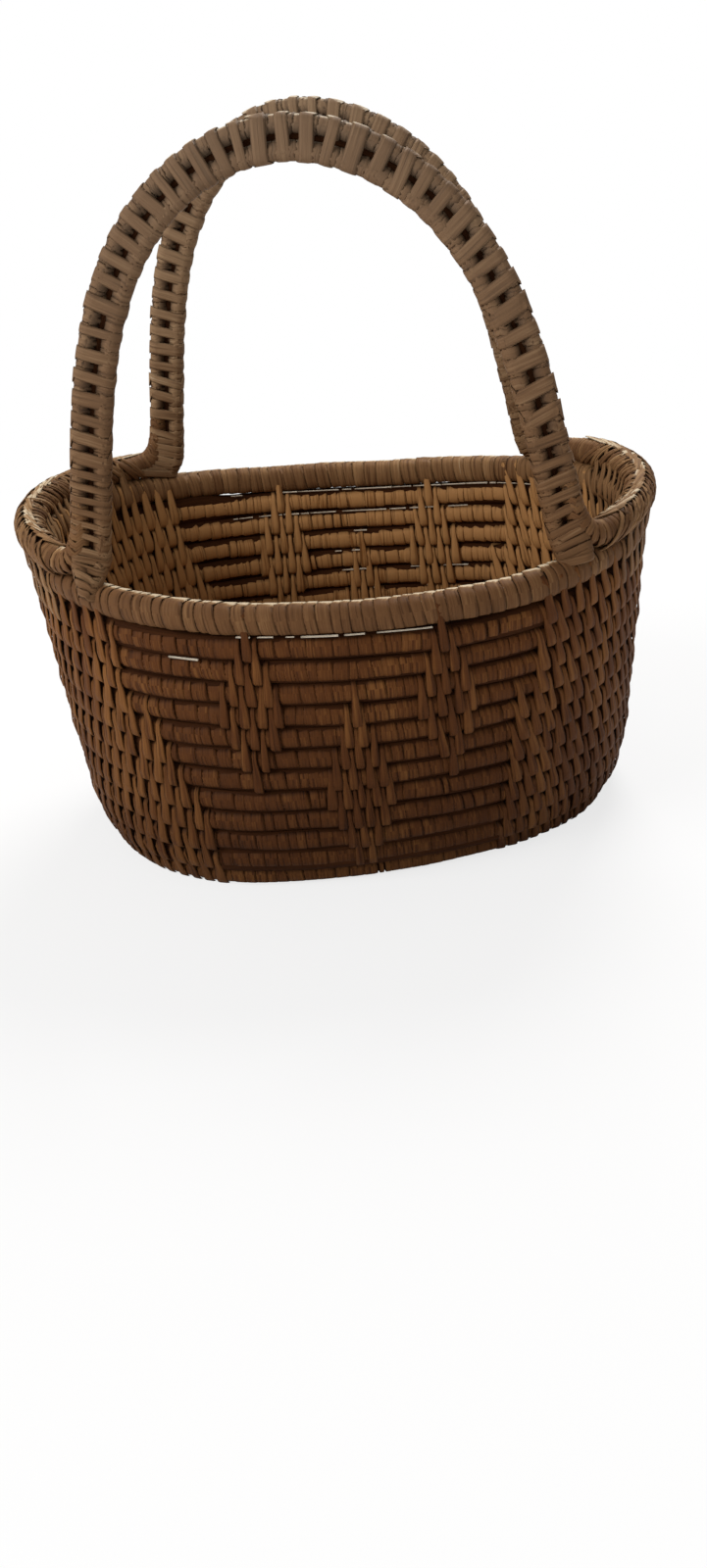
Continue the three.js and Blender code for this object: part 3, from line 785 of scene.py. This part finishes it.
def long_stitches(part, columns, inside_painted_light):
    """Long stitches round two rows: broad and proud below, narrow and tucked in above."""
    count = len(columns)
    columns = columns + chance.normal(0, 0.06, count) / STITCHES_PER_TURN
    close, at_right = in_band(columns), ~near_left(columns)
    lean_between = 1.5 * np.clip((0.27 - np.abs(columns % 1 - 0.5)) / 0.08, 0, 1)
    lean = np.where(close, STITCH_LEAN * at_right, lean_between)
    slant = (lean + chance.normal(-0.1, 0.35, count)) / RIM_PERIMETER
    size = chance.normal(1, 0.07, count) * np.where(close, 1.15, 1.0)
    row, on_rim = row_of(columns), RIM_THICKNESS + 0.4
    low = np.where(row > 0, COIL_WIDTH, on_rim) / 2 + 0.8 + chance.normal(0, 0.08, count)
    high = np.where((row == 1) & under_end_rim(columns), on_rim, COIL_WIDTH)
    high = np.where(row == 0, END_RIM_THICKNESS, high) / 2 + 0.35
    dip = chance.uniform(0.3, 0.6, count)
    points, normals = pair_paths(row_point, row_above, along_row, columns, (low, high), slant,
                                 dip, 0.66)
    half = mix(2.25, 1.15, smooth((PAIR_HEIGHT + 0.6) / 1.4)) * size[:, None]
    crown = mix(0.6, 0.3, (PAIR_HEIGHT + 1) / 2)
    # Painted shade where the stitch turns into the grooves
    painted_shade = 0.8 * smooth((np.abs(PAIR_HEIGHT) - 0.72) / 0.28)
    # Painted light: the stitches of both end bands are paler, the left band most, and paler still
    # inside the bowl
    band_painted_light = np.where(close, np.where(at_right, 0.1, 0.3), 0)
    inside = (inside_painted_light - 0.2 * band_painted_light)[:, None] * (PAIR_SIDE < 0)
    tone = (chance.normal(0.5, 0.1, count) + band_painted_light)[:, None] + inside
    part.strips(points, normals, half, crown, tone, 0.36, painted_shade)


# Lines of light: groove below the rim, side (out 1, in -1), first and last share, part that shows
LIGHT_LINES = [
    (0, 1, 0.695, 0.725, 0.97), (0, 1, 0.725, 0.80, 0.75), (1, 1, 0.815, 0.845, 0.5),
    (1, 1, 0.70, 0.80, 0.06), (0, -1, 0.15, 0.2, 0.5), (0, -1, 0.2, 0.4, 0.93),
    (1, -1, 0.165, 0.34, 0.85), (2, -1, 0.24, 0.29, 0.3), (3, -1, 0.22, 0.27, 0.5),
    (4, -1, 0.22, 0.34, 0.45), (5, -1, 0.26, 0.31, 0.3), (3, -1, 0.34, 0.37, 0.3)]


def painted_light_slits():
    """Painted light: pale stalks in the grooves of the wall, for the light that passes there."""
    part = Part()
    for groove, side, first, last, part_seen in LIGHT_LINES:
        lengths = chance.gamma(3, 3.2, 60) + 1.5
        gaps = lengths.mean() * (1 / part_seen - 1) * chance.gamma(2, 0.5, 60)
        start = first * RIM_PERIMETER + np.cumsum(lengths + gaps) - lengths
        for begin, length in zip(start, lengths):
            length = min(length, last * RIM_PERIMETER - begin)
            if length < 1:
                break
            share = (begin + np.linspace(0, length, 6)) / RIM_PERIMETER
            columns = LAST_TURN - 1 - groove + share
            _, out, up = level_frame(coil_point, turns_on(columns))
            middle = (row_point(columns) + row_above(columns)) / 2 + out * side * 5.2
            part.tube(middle, out, up, 0.5, chance.uniform(0.22, 0.5), sides=6, tone=0.8)
    part.build("painted_light_slits", SLIT_LIGHT_GRASS, slot="grass_coil")


coil_core().build("coil_core", DARK_GRASS, "base_coil", "wall_coil", slot="grass_coil")
coil_wraps(CORE_START, BASE_TURNS).build("base_wraps", WALL_LEAF)
for number in range(WALL_TURNS):
    first = BASE_TURNS + number
    coil_wraps(first, first + 1).build(f"wall_wraps_{number + 1:02d}", WALL_LEAF)
# Stitches on the rim and under it belong to the end rims, but not where the coil has yet to step
# up: there those of row 1 still lie a row lower
ALL_STITCHES = np.concatenate([diamond_columns(), band_columns()])
STITCH_ROWS = row_of(ALL_STITCHES)
YET_TO_STEP = (STITCH_ROWS == 1) & (ALL_STITCHES % 1 < 0.12)
AT_ENDS = (STITCH_ROWS < 2) & under_end_rim(ALL_STITCHES) & ~YET_TO_STEP
wall_stitches = Part()
long_stitches(wall_stitches, ALL_STITCHES[~AT_ENDS & (STITCH_ROWS > 0)], INSIDE_PAINTED_LIGHT)
wall_stitches.build("long_stitches", WALL_LEAF)
painted_light_slits()

# Rim and end rims


def rim_at(place):
    share = place / RIM_PERIMETER
    _, out, up = level_frame(rim_point, share)
    return (rim_point(share) + up * ripple(place, 12, 70, 0.4)[..., None]
            + out * ripple(place, 13, 90, 0.4)[..., None], out, up)


# The direction of the light above and behind, whose highlight is painted on the strips that face it
HIGHLIGHT_LIGHT = np.array([0, 0.4, 0.917])


def painted_highlight(normals, least, start=0.8):
    """Painted highlight: how much paler strips are where they face the light, from the cosine
    `start`: some fully, others down to the part `least`."""
    part = chance.uniform(least, 1, (len(normals), 1))
    return 1.3 * part * smooth((normals @ HIGHLIGHT_LIGHT - start) / 0.13)


def rim_piece():
    core, wraps = Part(), Part()
    places = np.linspace(0.15, RIM_PERIMETER - 0.15, 240)
    core.tube(*rim_at(places), RIM_THICKNESS / 2 - 0.3, RIM_THICKNESS / 2 - 0.1)
    core.build("rim_core", DARK_GRASS, "rim_coil", slot="rim_grass")
    middles, widths = side_by_side(0, RIM_PERIMETER, chance.gamma(12, 0.42, 260) + 0.6)
    count, steps = len(middles), 20
    radius = RIM_THICKNESS / 2 + chance.normal(0.0, 0.08, count)
    slant = 0.9 + ripple(middles, 15, 60, 0.8) + chance.normal(0, 0.12, count)
    points, normals = ring_paths(rim_at, middles, radius, radius + 0.35, slant, steps, 0.8)
    half = (widths / 2 + 0.3 - chance.exponential(0.08, count))[:, None]
    inner = (normals * rim_at(middles)[1][:, None]).sum(-1) < 0
    # Painted highlight where the rim faces the light, and painted light on its inner side
    tone = chance.normal(0.42, 0.08, count)[:, None] + painted_highlight(normals, 0.7, 0.86) + 0.35 * inner
    wraps.strips(points, normals, half, 0.22, tone, edge=0.15)
    wraps.build("rim_wraps", RIM_LEAF)


def end_rim_pieces(name, at_left):
    """An end rim and its two risers: close turns round these, a roll of slanting turns round the
    rest, and the long stitches that come up the wall."""
    low, high = END_SPANS[at_left]
    core, wraps = Part(), Part()
    shares = np.linspace(low, high, 120)
    _, out, up = level_frame(end_rim_point, shares)
    radius = END_RIM_THICKNESS / 2 - 0.3
    core.tube(end_rim_point(shares), out, up, radius, radius, square=1.0)
    for line, _ in RISERS[at_left]:
        places = np.linspace(0, line.length, 30)
        radius = riser_radius(line, places) - 0.2
        core.tube(*line.at(places), radius, radius, square=1.0)
        middles = np.arange(1.5, line.length + 4, 3.4)
        count = len(middles)
        radius = riser_radius(line, middles) + 0.2 + chance.normal(0, 0.08, count)
        points, normals = ring_paths(line.at, middles, radius, radius, 1.2 + 0 * middles, 12, 1.0)
        # Painted highlight where the riser's turns face the light
        tone = chance.normal(0.5, 0.1, count)[:, None] + painted_highlight(normals, 0.2)
        wraps.strips(points, normals, 1.9, 0.35, tone, edge=0.3)
    core.build(f"{name}_end_core", DARK_GRASS, f"{name}_end_rim", slot="rim_grass")

    def end_frame(place):
        share = low + place / RIM_PERIMETER
        return (end_rim_point(share), *level_frame(end_rim_point, share)[1:])

    middles = np.cumsum(chance.gamma(14, 0.25, 140)) - 7
    middles = middles[middles < (high - low) * RIM_PERIMETER + 7]
    count = len(middles)
    radius = END_RIM_THICKNESS / 2 + 0.8 + chance.normal(0, 0.15, count)
    slant = (1 if at_left else -1) * chance.normal(8, 1, count)
    points, normals = ring_paths(end_frame, middles, radius, radius, slant, 16, 1.0)
    half = chance.normal(1.25, 0.15, count)[:, None]
    # Painted highlight on the roll where it faces the light
    tone = chance.normal(0.68, 0.18, count)[:, None] + 0.8 * painted_highlight(normals, 0, 0.76)
    wraps.strips(points, normals, half, 0.5, tone, edge=0.6)
    on_side = near_left(ALL_STITCHES) == at_left
    long_stitches(wraps, ALL_STITCHES[AT_ENDS & on_side], END_INSIDE_PAINTED_LIGHT)
    wraps.build(f"{name}_end_wraps", RIM_LEAF, f"{name}_end_wrapping")


rim_piece()
end_rim_pieces("left", True)
end_rim_pieces("right", False)

# Handles

# Windows of the front handle, in mm from its left foot
WINDOWS = np.array([
    15.5, 20.6, 25.6, 30.8, 36, 41.5, 46.5, 54.5, 62.5, 70, 79, 87.5, 96, 106, 117, 125, 133, 141,
    149.5, 158.5, 165.5, 173, 182, 190, 197, 206, 215, 224, 232.5, 243, 253.5, 262, 270.5, 280, 291,
    300, 308.5, 318.5, 328.5, 338, 350, 361.5, 371.5, 382, 390, 397, 403.5, 409.5])


def eight(low_at, high_at, along_at, start, pitch, loops, radius):
    """A figure of eight: round the outer strand, through the gap and round the inner one the
    other way. Its normals face out of the outer strand and into the inner one."""
    angles = np.radians([-135, -90, -45, 0, 45, 90, 135])
    share = (np.arange(loops)[:, None, None] + np.array([0, 0.5])[:, None] + np.arange(7) / 14)
    place = (start + share * pitch).reshape(-1)
    turn = np.broadcast_to(angles, share.shape).reshape(-1)
    side = np.broadcast_to(np.array([1.0, -1.0])[:, None], share.shape).reshape(-1)
    low, high, along = low_at(place), high_at(place), along_at(place)
    e = square_to(along, unit(high - low))
    f = np.cross(e, along)
    centre = np.where(side[:, None] > 0, high, low)
    away = e * (side * np.cos(turn))[:, None] + f * np.sin(turn)[:, None]
    return (centre + away * radius)[None], (away * side[:, None])[None]


class Handle:
    """Two wrapped coils, bound in a figure of eight and by turns round both. Places are lengths
    along the arch from the left foot, and go on past both feet."""

    def __init__(self, name):
        self.name, self.line, self.in_front = name, ARCHES[name], name == "front"
        self.length = self.line.length
        self.left, self.right = riser(name, True)[0], riser(name, False)[0]
        self.outer_start, self.inner_start = (-4, -5) if self.in_front else (SPLICE, 0)
        # The rear handle's leaf is paler: painted light, for a handle that is better lit than the front
        # one
        self.tone = 0.48 if self.in_front else 0.85

    def near_foot(self, length, reach):
        """From 0 at 10 mm before a foot to 1 at `reach` mm further on."""
        return smooth((np.maximum(-length, length - self.length) + 10) / reach)

    def over_rim(self, length):
        """How a front foot bends out over the rim's face and on down."""
        past = np.maximum(-length, length - self.length)
        at_left = length < self.length / 2
        foot = self.line.points[np.where(at_left, 0, -1)]
        away = unit(foot * [1, 1, 0] - np.sign(foot * [1, 0, 0]) * (RIM_LENGTH - RIM_WIDTH) / 2)
        bend = away * (np.where(at_left, 7, 3) * self.near_foot(length, 16))[..., None]
        return (bend - UP * np.clip(past, 0, np.where(at_left, 5.5, 2))[..., None]) * self.in_front

    def outer_at(self, length):
        """The outer coil. At its ends it follows the risers on the rear handle and the legs on
        the front one."""
        line = self.line
        if self.in_front:
            on_arch, side, _ = line.at(np.clip(length, 0, line.length))
            leg = np.where(length < line.length / 2, 0.9, 0.3) * self.near_foot(length, 15)
            return on_arch + side * (HANDLE_SPACING * (0.5 - leg))[..., None] + self.over_rim(length)
        on_arch, side, _ = line.at(np.clip(length, SPLICE, line.length - SPLICE))
        on_arch = on_arch + side * HANDLE_SPACING / 2
        below = self.left.at(np.clip(SPLICE - length, 0, self.left.length))[0]
        beyond = self.right.at(np.clip(length - line.length + SPLICE, 0, self.right.length))[0]
        first, last = (length < SPLICE)[..., None], (length > line.length - SPLICE)[..., None]
        return np.where(first, below, np.where(last, beyond, on_arch))

    def inner_at(self, length):
        centre, side, _ = self.line.at(length)
        drawn_in = 0.5 - 0.4 * (not self.in_front) * self.near_foot(length, 12)
        return centre - side * (HANDLE_SPACING * drawn_in)[..., None] + self.over_rim(length)

    def along_at(self, length):
        inside = np.clip(length, 1, self.length - 1)
        return unit(self.line.at(inside + 0.5)[0] - self.line.at(inside - 0.5)[0])

    def build_core(self):
        """Both coils of grass, and a thin dark strand in the gap between them: painted shade that keeps
        the windows dark.
        """
        core, radius = Part(), HANDLE_COIL / 2
        for coil, start in ((self.outer_at, self.outer_start), (self.inner_at, self.inner_start)):
            span = np.linspace(start, self.length - start, 200)
            core.tube(coil(span), *self.line.at(span)[1:], radius, radius, square=1.0)
        span = np.linspace(14, self.length - 14, 160)
        middle = (self.inner_at(span) + self.outer_at(span)) / 2
        core.tube(middle, *self.line.at(span)[1:], 2.4, 1.3, square=1.0)
        core.build(f"{self.name}_handle_core", DARK_GRASS, f"{self.name}_handle_outer_coil",
                   f"{self.name}_handle_inner_coil", slot="handle_grass")

    def wrap_coil(self, wraps, coil, start, inner):
        """Turns of leaf side by side round one coil, with painted shade where it faces the other one.
        """
        widths = chance.gamma(14, 0.26, 260) + 0.5
        middles, widths = side_by_side(start, self.length - start, widths)
        count, steps = len(middles), 12
        radius = HANDLE_COIL / 2 + (0.6 if inner else 0.35) + chance.normal(0, 0.06, count)
        slant = 0.4 + ripple(middles, 16, 40, 0.6) + chance.normal(0, 0.1, count)
        coil_frame = lambda length: (coil(length), *self.line.at(length)[1:])
        points, normals = ring_paths(coil_frame, middles, radius - 0.3, radius, slant, steps, 0.95)
        # Painted highlight where the turns face the light
        tone = chance.normal(self.tone, 0.07, count)[:, None] + 1.4 * painted_highlight(normals, 0.6, 0.7)
        # Painted shade towards the gap between the coils
        to_gap = (1 if inner else -1) * np.cos(ring_angles(steps))
        painted_shade = 0.85 * smooth((to_gap - (0.3 if inner else -0.2)) / 0.8)
        wraps.strips(points, normals, (widths / 2 + 0.25)[:, None], 0.2, tone, 0.2, painted_shade)

    def build_ladder(self, windows):
        """Turns round both coils: broad between two windows, and close at the feet."""
        line, between = self.line, (windows[1:] + windows[:-1]) / 2
        close = np.arange(-5 if self.in_front else -12, 12, 3.3)
        left_close = close if self.in_front else np.arange(-12, 24, 3.3)
        middles = np.concatenate([left_close, between, line.length - close])
        count = len(middles)
        radius = HANDLE_COIL / 2 + 0.65 + chance.normal(0, 0.1, count)
        at_splice = smooth(1 - middles / SPLICE) + smooth(1 - (line.length - middles) / SPLICE)
        slant = -1.6 * (1 - 2 * middles / line.length) + chance.normal(0, 0.5, count)
        dip = chance.uniform(0.1, 0.4, count)
        radii = radius, radius + 0.5 * at_splice
        points, normals = pair_paths(self.inner_at, self.outer_at, self.along_at, middles, radii,
                                     slant, dip, 0.9)
        broad = np.diff(windows) * chance.normal(0.3, 0.035, len(between))
        half = np.concatenate([0 * left_close + 1.9, broad, 0 * close + 1.9])[:, None]
        # Painted highlight where the turns face the light
        tone = chance.normal(self.tone, 0.1, count)[:, None] + 1.4 * painted_highlight(normals, 0.6, 0.7)
        ladder = Part()
        ladder.strips(points, normals, half, 0.22, tone, edge=0.12)
        ladder.build(f"{self.name}_handle_ladder", HANDLE_LEAF, f"{self.name}_handle_binding",
                     f"foot_lashing_{self.name}_left", f"foot_lashing_{self.name}_right")

    def build(self):
        self.build_core()
        wraps = Part()
        self.wrap_coil(wraps, self.outer_at, self.outer_start, inner=False)
        self.wrap_coil(wraps, self.inner_at, self.inner_start + 1, inner=True)
        windows = WINDOWS if self.in_front else 15 + np.cumsum(chance.normal(9.2, 1.0, 43))
        loops = len(windows) - 8
        pitch = (self.length - 2 * SPLICE) / loops
        winding = eight(self.inner_at, self.outer_at, self.along_at, SPLICE, pitch, loops,
                        HANDLE_COIL / 2 + 0.3)
        # The figure of eight is dark, with painted shade on it: it stands for the shade in the windows
        wraps.strips(*winding, 1.3, 0.3, 0.2, 0.5, 0.5, closed=False, section=LENS)
        wraps.build(f"{self.name}_handle_wraps", HANDLE_LEAF)
        self.build_ladder(windows)


Handle("front").build()
Handle("rear").build()

# Camera, from where the photograph was taken
YAW, PITCH, ROLL = np.radians([-3.32, 28.99, -4.06])
DISTANCE, AIM = 728.11 * MM, Vector((-0.22, 0, 3.53)) * MM
FOCAL_PIXELS, IMAGE_HEIGHT, SENSOR = 1424.7, 1600, 36.0


def place_camera():
    """The camera looks down, is rolled, drawn back, tipped up, moved to its aim and turned."""
    data = bpy.data.cameras.new("camera")
    data.sensor_width = SENSOR
    data.lens = FOCAL_PIXELS / IMAGE_HEIGHT * SENSOR
    data.clip_start, data.clip_end = 0.01, 50
    camera = link_object("camera", data)
    camera.matrix_world = (
        Matrix.Rotation(-YAW, 4, "Z") @ Matrix.Translation(AIM)
        @ Matrix.Rotation(np.pi / 2 - PITCH, 4, "X") @ Matrix.Translation((0, 0, DISTANCE))
        @ Matrix.Rotation(ROLL, 4, "Z"))
    bpy.context.scene.camera = camera


place_camera()

# Floor, light and background

FLOOR_RADIUS, LAMPS_AIM = 4, (0, 0, 0.12)


def floor_finish():
    """Pale floor: seen directly it fades to white away from the basket."""
    finish = Finish(bpy.data.materials.new("pale_floor"))
    distance = finish.node("VectorMath", {0: finish.node("TexCoord")[3]}, operation="LENGTH")[1]
    far = ((distance - 0.25) * 2.5).clip()
    seen_white = finish.node("LightPath")[0] * (far * 0.25 + 0.75)
    diffuse = finish.node("BsdfDiffuse", {"Color": (0.86, 0.85, 0.84, 1)})[0]
    white = finish.node("Emission", {"Color": (1, 1, 1, 1), "Strength": 1.0})[0]
    mixed = finish.node("MixShader", {0: seen_white, 1: diffuse, 2: white})[0]
    finish.put(finish.nodes["Material Output"].inputs["Surface"], mixed)
    return finish.owner


def add_floor():
    mesh = bpy.data.meshes.new("floor")
    angle = np.linspace(0, 2 * np.pi, 96, endpoint=False)
    ring = np.stack([np.cos(angle), np.sin(angle), 0 * angle], -1) * FLOOR_RADIUS
    mesh.from_pydata(ring.tolist(), [], [list(range(96))])
    mesh.materials.append(floor_finish())
    link_object("floor", mesh)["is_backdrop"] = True


def add_lamp(name, place, size, power):
    data = bpy.data.lights.new(name, "AREA")
    data.shape, data.size, data.energy = "DISK", size, power
    lamp = link_object(name, data)
    lamp.location = place
    lamp.rotation_mode = "QUATERNION"
    lamp.rotation_quaternion = (Vector(place) - Vector(LAMPS_AIM)).to_track_quat("Z", "Y")


def light_world():
    """A background that is white to the camera, and dimmer as a light."""
    world = bpy.data.worlds.new("studio")
    finish = Finish(world)
    inputs = finish.nodes["Background"].inputs
    inputs["Color"].default_value = (1, 1, 1, 1)
    finish.put(inputs["Strength"], finish.node("LightPath")[0] * 0.6 + 0.4)
    bpy.context.scene.world = world


add_floor()
add_lamp("key", (0.35, 1.1, 1.5), 0.9, 26)
add_lamp("fill", (-1.3, -0.85, 1.1), 1.2, 20)
light_world()
bpy.context.scene.view_settings.view_transform = "Standard"

shown_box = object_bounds()
[[list(corner) for corner in box] for box in (packed_box, shown_box)]
